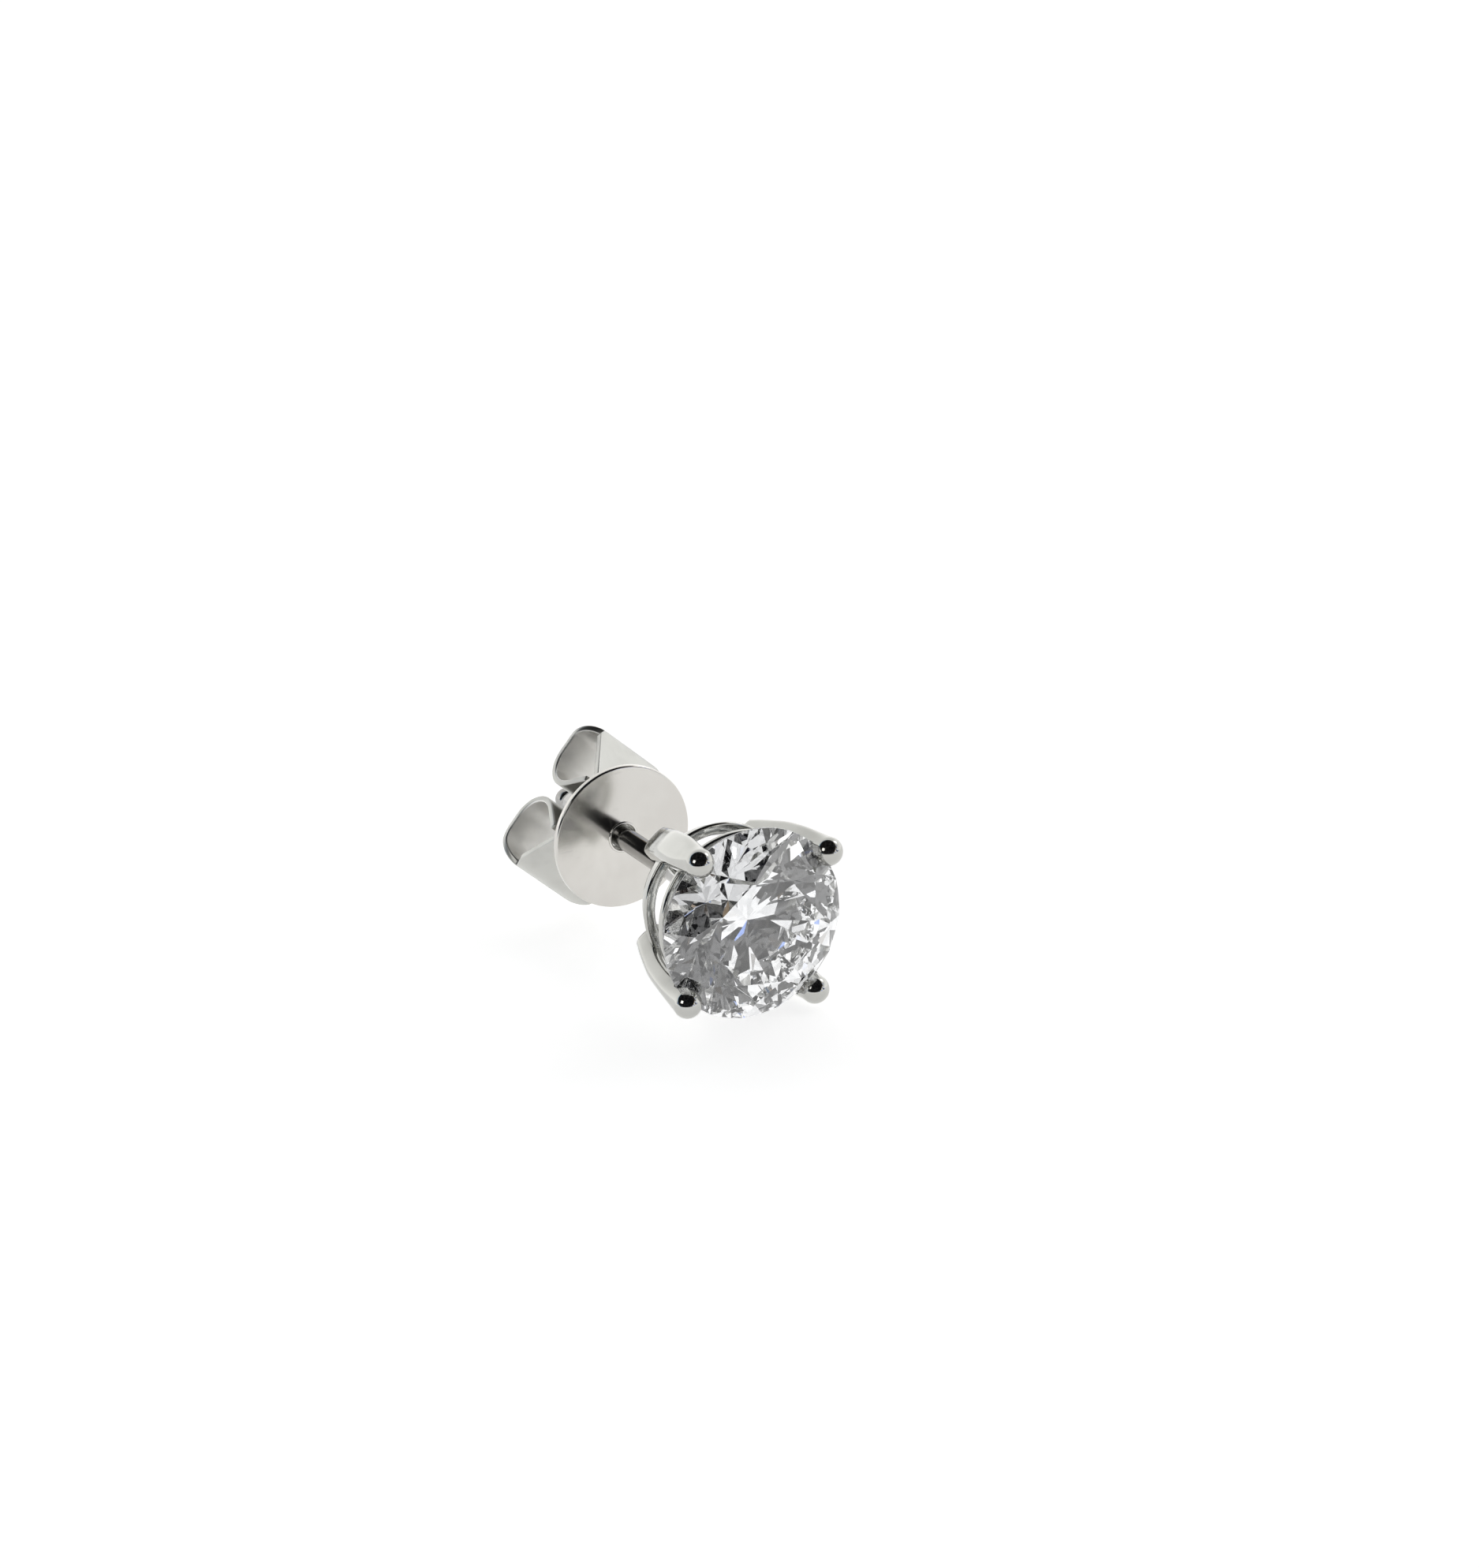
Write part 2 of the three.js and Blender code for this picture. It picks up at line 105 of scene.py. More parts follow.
class Val:
    """A number that varies over a surface, held by a socket. Its operators add Math nodes."""

    def __init__(self, graph: "Graph", socket: bpy.types.NodeSocket) -> None:
        """Wraps one socket of a graph."""
        self.graph = graph
        self.socket = socket

    def _math(self, operation: str, *values: "Number") -> "Val":
        """One Math node on the values, which may be numbers."""
        made = self.graph.node("ShaderNodeMath", {"operation": operation}, dict(enumerate(values)))
        return Val(self.graph, made.outputs[0])

    def __add__(self, other: "Number") -> "Val":
        """self + other."""
        return self._math("ADD", self, other)

    __radd__ = __add__

    def __sub__(self, other: "Number") -> "Val":
        """self - other."""
        return self._math("SUBTRACT", self, other)

    def __rsub__(self, other: "Number") -> "Val":
        """other - self."""
        return self._math("SUBTRACT", other, self)

    def __mul__(self, other: "Number") -> "Val":
        """self * other."""
        return self._math("MULTIPLY", self, other)

    __rmul__ = __mul__

    def __abs__(self) -> "Val":
        """The value without its sign."""
        return self._math("ABSOLUTE", self)

    def smooth(self, low: float, high: float) -> "Val":
        """0 at low, 1 at high, with an even S between them."""
        settings = {"interpolation_type": "SMOOTHSTEP"}
        inputs = {"Value": self, "From Min": low, "From Max": high}
        made = self.graph.node("ShaderNodeMapRange", settings, inputs)
        return Val(self.graph, made.outputs["Result"])


Number = Union[float, Val]


class Graph:
    """The nodes of one material or of the world."""

    def __init__(self, tree: bpy.types.NodeTree) -> None:
        """Starts with an empty tree."""
        self.tree = tree
        self.tree.nodes.clear()

    def node(self, kind: str, settings: dict | None = None, inputs: dict | None = None) -> bpy.types.Node:
        """Adds one node.

        Args:
            kind: The node's type.
            settings: Its settings, which are set first.
            inputs: Socket names or numbers to plain values, sockets or Vals.

        Returns:
            The new node.
        """
        made = self.tree.nodes.new(kind)
        for name, value in (settings or {}).items():
            setattr(made, name, value)
        for key, value in (inputs or {}).items():
            source = value.socket if isinstance(value, Val) else value
            if isinstance(source, bpy.types.NodeSocket):
                self.tree.links.new(source, made.inputs[key])
            else:
                made.inputs[key].default_value = source
        return made

    def vector(self, operation: str, **inputs: object) -> bpy.types.Node:
        """A Vector Math node; a, b and scale are its inputs."""
        sockets = {"a": 0, "b": 1, "scale": "Scale"}
        values = {sockets[name]: value for name, value in inputs.items()}
        return self.node("ShaderNodeVectorMath", {"operation": operation}, values)

    def dot(self, source: bpy.types.NodeSocket, direction: Vector) -> Val:
        """How far source points along direction."""
        return Val(self, self.vector("DOT_PRODUCT", a=source, b=tuple(direction)).outputs["Value"])

    def millimetres(self) -> bpy.types.NodeSocket:
        """The place on the surface in millimetres."""
        place = self.node("ShaderNodeTexCoord").outputs["Object"]
        return self.vector("SCALE", a=place, scale=1.0 / MM).outputs[0]

    def noise(self, place: bpy.types.NodeSocket, per_mm: float, detail: float = 2.0) -> Val:
        """Soft noise around 0.5, with about per_mm blobs to the millimetre."""
        made = self.node("ShaderNodeTexNoise", None, {"Vector": place, "Scale": per_mm, "Detail": detail})
        return Val(self, made.outputs[0])

    def blend(self, factor: Number, low: object, high: object) -> bpy.types.NodeSocket:
        """A colour between low and high, each a colour or a colour socket."""
        pair = [(*c, 1.0) if isinstance(c, tuple) else c for c in (low, high)]
        made = self.node("ShaderNodeMix", {"data_type": "RGBA"}, {0: factor, 6: pair[0], 7: pair[1]})
        return made.outputs[2]


@dataclass(frozen=True)
class PolishedPlatinum:
    """Platinum with a polish: a warm grey mirror with hairlines, faint handling haze and a barely wavy skin.

    Attributes:
        name: The material's name.
        tone: Its colour where it is clean.
        haze_tone: Its colour where handling has dulled it.
        polish: Roughness where it is clean.
        haze: Roughness added where it is dulled.
        hairline: Roughness added along fine scratches.
        wave: Height of the skin's waviness, in millimetres.
        wave_per_mm: Number of waves to the millimetre.
    """

    name: str
    tone: Colour = (0.575, 0.575, 0.552)
    haze_tone: Colour = (0.53, 0.528, 0.505)
    polish: float = 0.05
    haze: float = 0.07
    hairline: float = 0.08
    wave: float = 0.0035
    wave_per_mm: float = 1.3

    def make(self) -> bpy.types.Material:
        """Builds the material."""
        material = bpy.data.materials.new(self.name)
        material.use_nodes = True
        graph = Graph(material.node_tree)
        place = graph.millimetres()
        clouds = graph.noise(place, 0.9, 3.0).smooth(0.38, 0.68)
        grain = graph.noise(place, 22.0, 2.0)
        stretched = graph.vector("MULTIPLY", a=place, b=(2.2, 34.0, 9.0)).outputs[0]
        crossed = graph.vector("MULTIPLY", a=place, b=(27.0, 6.0, 2.6)).outputs[0]
        lines = graph.noise(stretched, 1.0, 1.0).smooth(0.62, 0.72)
        lines = lines + graph.noise(crossed, 1.0, 1.0).smooth(0.64, 0.74)
        tone = graph.blend(clouds * 0.7 + grain * 0.3, self.tone, self.haze_tone)
        roughness = clouds * self.haze + lines * (self.hairline * 0.5) + grain * 0.03 + self.polish
        skin = graph.noise(place, self.wave_per_mm, 1.0) + lines * -0.02
        relief = {"Strength": 1.0, "Distance": self.wave * MM, "Height": skin}
        bump = graph.node("ShaderNodeBump", None, relief)
        shader = graph.node("ShaderNodeBsdfPrincipled", None, {
            "Base Color": tone,
            "Roughness": roughness,
            "Metallic": 1.0,
            "Normal": bump.outputs[0],
        })
        out = graph.node("ShaderNodeOutputMaterial")
        graph.tree.links.new(shader.outputs[0], out.inputs["Surface"])
        return material


@dataclass(frozen=True)
class CutDiamond:
    """Colourless diamond with polished facets and a finely ground girdle.

    Attributes:
        name: The material's name.
        axis: Direction of the stone's axis.
        tint: What a pass through the stone leaves of white light.
        girdle_roughness: Roughness of the ground girdle.
        index: Refractive index.
        gloss: Level of the reflection off the outside of the facets; 0.5 is the physical one.
    """

    name: str
    axis: Vector
    tint: Colour = (0.965, 0.97, 0.98)
    girdle_roughness: float = 0.22
    index: float = 2.417
    gloss: float = 0.25

    def make(self) -> bpy.types.Material:
        """Builds the material."""
        material = bpy.data.materials.new(self.name)
        material.use_nodes = True
        graph = Graph(material.node_tree)
        facing = graph.node("ShaderNodeTexCoord").outputs["Normal"]
        girdle = 1.0 - abs(graph.dot(facing, self.axis)).smooth(0.1, 0.2)
        breath = graph.noise(graph.millimetres(), 0.8, 2.0).smooth(0.5, 0.8)
        tone = graph.blend(girdle, self.tint, (0.87, 0.88, 0.89))
        shader = graph.node("ShaderNodeBsdfPrincipled", None, {
            "Base Color": tone,
            "Roughness": girdle * self.girdle_roughness + breath * 0.004,
            "Metallic": 0.0,
            "IOR": self.index,
            "Transmission Weight": 1.0,
            "Specular IOR Level": self.gloss,
        })
        out = graph.node("ShaderNodeOutputMaterial")
        graph.tree.links.new(shader.outputs[0], out.inputs["Surface"])
        return material


@dataclass(frozen=True)
class PaleFloor:
    """A plain white sheet with the faintest tooth, lit a little from below as on a light table.

    Attributes:
        name: The material's name.
        tone: Its colour.
        glow: Brightness of the light through it.
    """

    name: str = "pale_floor"
    tone: Colour = (0.62, 0.62, 0.615)
    glow: float = 0.79

    def make(self) -> bpy.types.Material:
        """Builds the material."""
        material = bpy.data.materials.new(self.name)
        material.use_nodes = True
        graph = Graph(material.node_tree)
        tooth = graph.noise(graph.millimetres(), 3.0, 3.0)
        tone = graph.blend(tooth, self.tone, tuple(c * 0.985 for c in self.tone))
        shader = graph.node("ShaderNodeBsdfPrincipled", None, {
            "Base Color": tone,
            "Roughness": 0.75,
            "Emission Color": (1.0, 1.0, 1.0, 1.0),
            "Emission Strength": self.glow,
        })
        out = graph.node("ShaderNodeOutputMaterial")
        graph.tree.links.new(shader.outputs[0], out.inputs["Surface"])
        return material


@dataclass(frozen=True)
class RoundBrilliant:
    """The stone's sizes, in millimetres and degrees, and where it sits along the post."""

    diameter: float = 6.5
    crown_deg: float = 34.5
    pavilion_deg: float = 40.75
    girdle: float = 0.14
    table_share: float = 0.57
    girdle_bottom: float = 8.98037
    clearance: float = 0.03

    @property
    def radius(self) -> float:
        """Half the diameter."""
        return self.diameter / 2.0

    @property
    def girdle_top(self) -> float:
        """Height of the girdle's upper edge."""
        return self.girdle_bottom + self.girdle

    def room(self) -> Profile:
        """Outline of the space that claws leave free for the stone, as (radius, height)."""
        radius = self.radius + self.clearance
        below = self.girdle_bottom - self.clearance
        above = self.girdle_top + self.clearance
        table = self.radius * self.table_share
        lid = above + (radius - table) * math.tan(math.radians(self.crown_deg))
        culet = below - radius * math.tan(math.radians(self.pavilion_deg))
        return [(0.0, culet), (radius, below), (radius, above), (table, lid), (0.0, lid)]


@dataclass(frozen=True)
class RestPose:
    """How the earring lies, read from the frame: its post's direction, its roll and the disc's place.

    Attributes:
        claw_count: Number of claws.
        stone_radius: Radius of the stone.
        tip_radius: Radius of a claw's ball tip.
        tip_circle: Radius of the circle that the tips' centres lie on.
        mark_height: How far above the hole the mount on the disc's front is, in millimetres.
    """

    claw_count: int
    stone_radius: float
    tip_radius: float
    tip_circle: float
    mark_height: float = 1.6

    def matrix(self) -> Matrix:
        """The turn, shift and change of unit from a piece's own frame to the object's."""
        joint = next(j for j in frame["joints"] if j["name"] == "back_slide")
        post = Vector(joint["axis"]).normalized()
        roll = math.pi / self.claw_count - math.acos((self.stone_radius - self.tip_radius) / self.tip_circle)
        level = Vector((1.0, 0.0, 0.0))
        lift = level.cross(post).normalized()
        right = level * math.cos(roll) - lift * math.sin(roll)
        up = lift * math.cos(roll) + level * math.sin(roll)
        mount = next(m for m in frame["record"]["mounts"] if m["name"] == "lobe_rear")
        disc_front = Vector(mount["pos_m"]) - up * self.mark_height * MM
        turn = Matrix((right, up, -post)).transposed().to_4x4()
        return Matrix.Translation(disc_front) @ turn @ Matrix.Scale(MM, 4)


class Workbench:
    """Makes meshes in a piece's own frame and sets the finished pieces into the object's frame."""

    def __init__(self, rest: Matrix) -> None:
        """Keeps the rest pose."""
        self.rest = rest

    def _object(self, name: str, work: bmesh.types.BMesh) -> bpy.types.Object:
        """An object from a mesh being worked on, still in millimetres."""
        bmesh.ops.recalc_face_normals(work, faces=work.faces)
        mesh = bpy.data.meshes.new(name)
        work.to_mesh(mesh)
        work.free()
        made = bpy.data.objects.new(name, mesh)
        bpy.context.scene.collection.objects.link(made)
        return made

    def loft(self, name: str, rings: Sequence[Sequence[Vector]]) -> bpy.types.Object:
        """A closed body through rings with the same number of points, with its ends filled.

        Args:
            name: The piece's name.
            rings: The sections in order.

        Returns:
            The new object.
        """
        work = bmesh.new()
        rows = [[work.verts.new(p) for p in ring] for ring in rings]
        count = len(rows[0])
        for near, far in zip(rows, rows[1:]):
            for i in range(count):
                work.faces.new((near[i], near[(i + 1) % count], far[(i + 1) % count], far[i]))
        work.faces.new(list(reversed(rows[0])))
        work.faces.new(rows[-1])
        return self._object(name, work)

    def lathe(self, name: str, profile: Profile, segments: int) -> bpy.types.Object:
        """A body turned from a profile that is closed or that starts and ends on the axis.

        Args:
            name: The piece's name.
            profile: Points as (radius, height).
            segments: Number of steps round the axis.

        Returns:
            The new object.
        """
        on_axis = profile[0][0] < 1e-9
        work = bmesh.new()
        columns = []
        poles = [work.verts.new((0.0, 0.0, h)) if r < 1e-9 else None for r, h in profile]
        for angle in sweep(0.0, math.tau, segments)[:-1]:
            turn = (math.cos(angle), math.sin(angle))
            columns.append([pole or work.verts.new((r * turn[0], r * turn[1], h))
                            for pole, (r, h) in zip(poles, profile)])
        last = len(profile) - 1 if on_axis else len(profile)
        for i, column in enumerate(columns):
            after = columns[(i + 1) % segments]
            for k in range(last):
                m = (k + 1) % len(profile)
                corners = list(dict.fromkeys((column[k], after[k], after[m], column[m])))
                work.faces.new(corners)
        return self._object(name, work)

    def carve(self, piece: bpy.types.Object, tool: bpy.types.Object,
              keep_inside: bool = False) -> bpy.types.Object:
        """Cuts a tool out of a piece.

        Args:
            piece: The piece, which is changed.
            tool: The cutter, which can be used again.
            keep_inside: Keeps only what is inside the tool instead.

        Returns:
            The piece.
        """
        cut = piece.modifiers.new("cut", "BOOLEAN")
        cut.operation = "INTERSECT" if keep_inside else "DIFFERENCE"
        cut.solver = "EXACT"
        cut.object = tool
        shaped = piece.evaluated_get(bpy.context.evaluated_depsgraph_get())
        mesh = bpy.data.meshes.new_from_object(shaped)
        piece.modifiers.clear()
        piece.data = mesh
        return piece

    def discard(self, *tools: bpy.types.Object) -> None:
        """Removes cutters once they aren't needed."""
        for tool in tools:
            bpy.data.objects.remove(tool, do_unlink=True)

    def set_in(self, piece: bpy.types.Object, body: Body, node: Node, slot: str,
               *finishes: bpy.types.Material, sharp_deg: float = 40.0) -> bpy.types.Object:
        """Sets a finished piece into the object's frame, where it rides on its body.

        Args:
            piece: The piece, still in millimetres.
            body: The body that carries it.
            node: The solid that it stands for.
            slot: The record's material slot; not used.
            finishes: Its materials, in the order of its faces' material numbers.
            sharp_deg: Edges sharper than this stay crisp.

        Returns:
            The piece.
        """
        mesh = piece.data
        mesh.transform(self.rest)
        mesh.update()
        mesh.shade_smooth()
        mesh.set_sharp_from_angle(angle=math.radians(sharp_deg))
        sides = [face.material_index for face in mesh.polygons]
        mesh.materials.clear()
        for finish in finishes:
            mesh.materials.append(finish)
        mesh.polygons.foreach_set("material_index", sides)
        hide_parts(node.value)
        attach(piece, body.value)
        LOG.info("%s: %d faces on %s", piece.name, len(mesh.polygons), body.value)
        return piece


@dataclass
class Basket:
    """The open basket: claws with ball tips, a flared base rail, a thin gallery rail and cross bars.

    Heights are along the post from the front of the disc, and all sizes are in millimetres.
    """

    stone: RoundBrilliant
    claw_count: int = 4
    claw_width: float = 1.14
    claw_depth: float = 0.78
    tip_radius: float = 0.485
    tip_outside_girdle: float = 0.12
    tip_above_girdle: float = 0.33
    foot_height: float = 5.6
    foot_radius: float = 2.9
    foot_rounding: float = 0.14
    body_squareness: float = 3.4
    tip_squareness: float = 2.0
    bar_back: float = 5.66
    bar_width: float = 0.8
    bar_thickness: float = 0.46
    base_rail: tuple[float, float, float, float, float] = (5.9, 0.78, 2.39, 2.66, 0.4)
    gallery_rail: tuple[float, float, float, float, float] = (7.955, 0.25, 2.88, 2.88, 0.34)
    rail_rounding: float = 0.09
    claw_profile: tuple[tuple[float, float], ...] = (
        (0.0, 0.0), (0.1, 0.17), (0.24, 0.37), (0.42, 0.6), (0.68, 0.79), (1.0, 1.0))
    section_points: int = 56
    claw_rings: int = 40
    dome_rings: int = 14
    finish: PolishedPlatinum = field(default_factory=lambda: PolishedPlatinum("setting_platinum"))

    @property
    def tip_circle(self) -> float:
        """Radius of the circle through the centres of the ball tips."""
        return self.stone.radius + self.tip_outside_girdle

    @property
    def tip_height(self) -> float:
        """Height of the centres of the ball tips."""
        return self.stone.girdle_top + self.tip_above_girdle

    def _section(self, centre: float, height: float, half: tuple[float, float],
                 squareness: float) -> list[Vector]:
        """One section across a claw that points along x.

        Args:
            centre: How far out its middle is.
            height: Its height.
            half: Its half depth and half width.
            squareness: 2 for an ellipse, more for squarer corners.

        Returns:
            Its points in order.
        """
        def bulge(value: float) -> float:
            return math.copysign(abs(value) ** (2.0 / squareness), value)
        turns = sweep(0.0, math.tau, self.section_points)[:-1]
        return [Vector((centre + half[0] * bulge(math.cos(a)), half[1] * bulge(math.sin(a)), height))
                for a in turns]

    def _outer_radius(self, share: float) -> float:
        """How far out the claw's outer face is at a share of its height."""
        tip = self.tip_circle + self.tip_radius
        rows = self.claw_profile
        i = max(k for k in range(len(rows) - 1) if rows[k][0] <= share)
        before, a, b, after = rows[max(i - 1, 0)], rows[i], rows[i + 1], rows[min(i + 2, len(rows) - 1)]
        t = (share - a[0]) / (b[0] - a[0])
        slope_a = (b[1] - before[1]) / (b[0] - before[0]) * (b[0] - a[0])
        slope_b = (after[1] - a[1]) / (after[0] - a[0]) * (b[0] - a[0])
        out = ((2 * t**3 - 3 * t**2 + 1) * a[1] + (t**3 - 2 * t**2 + t) * slope_a
               + (3 * t**2 - 2 * t**3) * b[1] + (t**3 - t**2) * slope_b)
        return self.foot_radius + out * (tip - self.foot_radius)

    def _claw_rings(self) -> list[list[Vector]]:
        """The sections of one claw, from its foot to the top of its ball tip."""
        rings = []
        half = (self.claw_depth / 2.0, self.claw_width / 2.0)
        foot_centre = self.foot_radius - half[0]
        for angle in sweep(0.0, math.pi / 2.0, 4)[:-1]:
            inset = self.foot_rounding * (1.0 - math.sin(angle))
            height = self.foot_height + self.foot_rounding * (1.0 - math.cos(angle))
            half_foot = (half[0] - inset, half[1] - inset)
            rings.append(self._section(foot_centre, height, half_foot, self.body_squareness))
        start = self.foot_height + self.foot_rounding
        for share in sweep(0.0, 1.0, self.claw_rings):
            blend = smoothstep(share, 0.6, 1.0)
            depth = half[0] + (self.tip_radius - half[0]) * blend
            width = half[1] + (self.tip_radius - half[1]) * blend
            squareness = self.body_squareness + (self.tip_squareness - self.body_squareness) * blend
            height = start + (self.tip_height - start) * share
            rings.append(self._section(self._outer_radius(share) - depth, height, (depth, width), squareness))
        for angle in sweep(0.0, math.pi / 2.0, self.dome_rings)[1:-1]:
            size = self.tip_radius * math.cos(angle)
            height = self.tip_height + self.tip_radius * math.sin(angle)
            rings.append(self._section(self.tip_circle, height, (size, size), self.tip_squareness))
        return rings

    def _rail(self, bench: Workbench, name: str, sizes: tuple[float, ...]) -> bpy.types.Object:
        """A rail from its back height, height, outer radii at the back and the front, and thickness."""
        back, height, back_radius, front_radius, thickness = sizes
        r = self.rail_rounding
        front = back + height
        profile = [
            *quarter_round((back_radius - thickness + r, back + r), r, 180.0, 5),
            *quarter_round((back_radius - r, back + r), r, 270.0, 5),
            *quarter_round((front_radius - r, front - r), r, 0.0, 5),
            *quarter_round((front_radius - thickness + r, front - r), r, 90.0, 5),
        ]
        return bench.lathe(name, profile, 180)

    def _bar(self, bench: Workbench, name: str, azimuth: float) -> bpy.types.Object:
        """One cross bar from the axis to a claw's foot."""
        reach = self.foot_radius - self.claw_depth / 2.0
        centre = self.bar_back + self.bar_thickness / 2.0
        rings = []
        for x in (0.0, reach):
            section = self._section(0.0, 0.0, (self.bar_thickness / 2.0, self.bar_width / 2.0), 5.0)
            rings.append([Vector((x, p.y, centre + p.x)) for p in section])
        turn = Matrix.Rotation(azimuth, 4, "Z")
        return bench.loft(name, [[turn @ p for p in ring] for ring in rings])

    def build(self, bench: Workbench) -> list[bpy.types.Object]:
        """Builds and dresses the basket.

        Args:
            bench: Where the pieces are made.

        Returns:
            Its pieces.
        """
        finish = self.finish.make()
        room = bench.lathe("stone_room", self.stone.room(), 192)
        pieces = []
        for i in range(self.claw_count):
            azimuth = (i + 0.5) * math.tau / self.claw_count
            turn = Matrix.Rotation(azimuth, 4, "Z")
            rings = [[turn @ p for p in ring] for ring in self._claw_rings()]
            pieces.append(bench.carve(bench.loft(f"claw_{i + 1}", rings), room))
            pieces.append(self._bar(bench, f"cross_bar_{i + 1}", azimuth))
        bench.discard(room)
        pieces.append(self._rail(bench, "base_rail", self.base_rail))
        pieces.append(self._rail(bench, "gallery_rail", self.gallery_rail))
        return [bench.set_in(p, Body.STUD, Node.SETTING, "setting_platinum", finish) for p in pieces]


@dataclass
class Post:
    """The post with its rounded end and the small collar that solders it to the basket, in millimetres."""

    diameter: float = 0.78
    tip_height: float = -4.64538
    tip_rounding: float = 0.22
    notch_from_tip: float = 0.6
    notch_width: float = 0.26
    notch_depth: float = 0.05
    collar_diameter: float = 1.3
    collar_height: float = 0.16
    root_height: float = 5.66
    root_sunk: float = 0.2
    segments: int = 72
    finish: PolishedPlatinum = field(default_factory=lambda: PolishedPlatinum(
        "post_platinum", tone=(0.5, 0.495, 0.485), haze_tone=(0.4, 0.395, 0.385), polish=0.1))

    def build(self, bench: Workbench) -> list[bpy.types.Object]:
        """Builds and dresses the post and its collar.

        Args:
            bench: Where the pieces are made.

        Returns:
            Its pieces.
        """
        radius = self.diameter / 2.0
        r = self.tip_rounding
        root = self.root_height + self.root_sunk
        notch = self.tip_height + self.notch_from_tip
        groove = [(radius - self.notch_depth * (0.5 + 0.5 * math.cos(a)) ** 0.6,
                   notch + self.notch_width * a / math.tau) for a in sweep(-math.pi, math.pi, 12)]
        shaft = [
            (0.0, self.tip_height),
            *quarter_round((radius - r, self.tip_height + r), r, 270.0, 8),
            *groove,
            (radius, root),
            (0.0, root),
        ]
        low = self.root_height - self.collar_height
        flare = [(radius + (self.collar_diameter / 2.0 - radius) * s**2.2, low + self.collar_height * s)
                 for s in sweep(0.0, 1.0, 8)]
        collar = [(0.0, low), *flare, (self.collar_diameter / 2.0, root), (0.0, root)]
        finish = self.finish.make()
        pieces = [bench.lathe("post", shaft, self.segments),
                  bench.lathe("post_collar", collar, self.segments)]
        return [bench.set_in(p, Body.STUD, Node.SETTING, "setting_platinum", finish) for p in pieces]


@dataclass(frozen=True)
class Scroll:
    """One scroll of the strip: a bend off the disc, an outer curl and an inner curl, in millimetres.

    Attributes:
        name: Which scroll it is.
        side: 1 or -1, the side of the post that it is on.
        seat: How far from the post's axis the strip leaves the disc.
        fall_deg: How steeply it leaves the disc.
        curl_radius: Radius of the outer curl's middle line.
        back_run: Length of the straight between the curls.
        gap: Distance of the scroll from the post's axis.
    """

    name: str
    side: int
    seat: float
    fall_deg: float
    curl_radius: float
    back_run: float
    gap: float


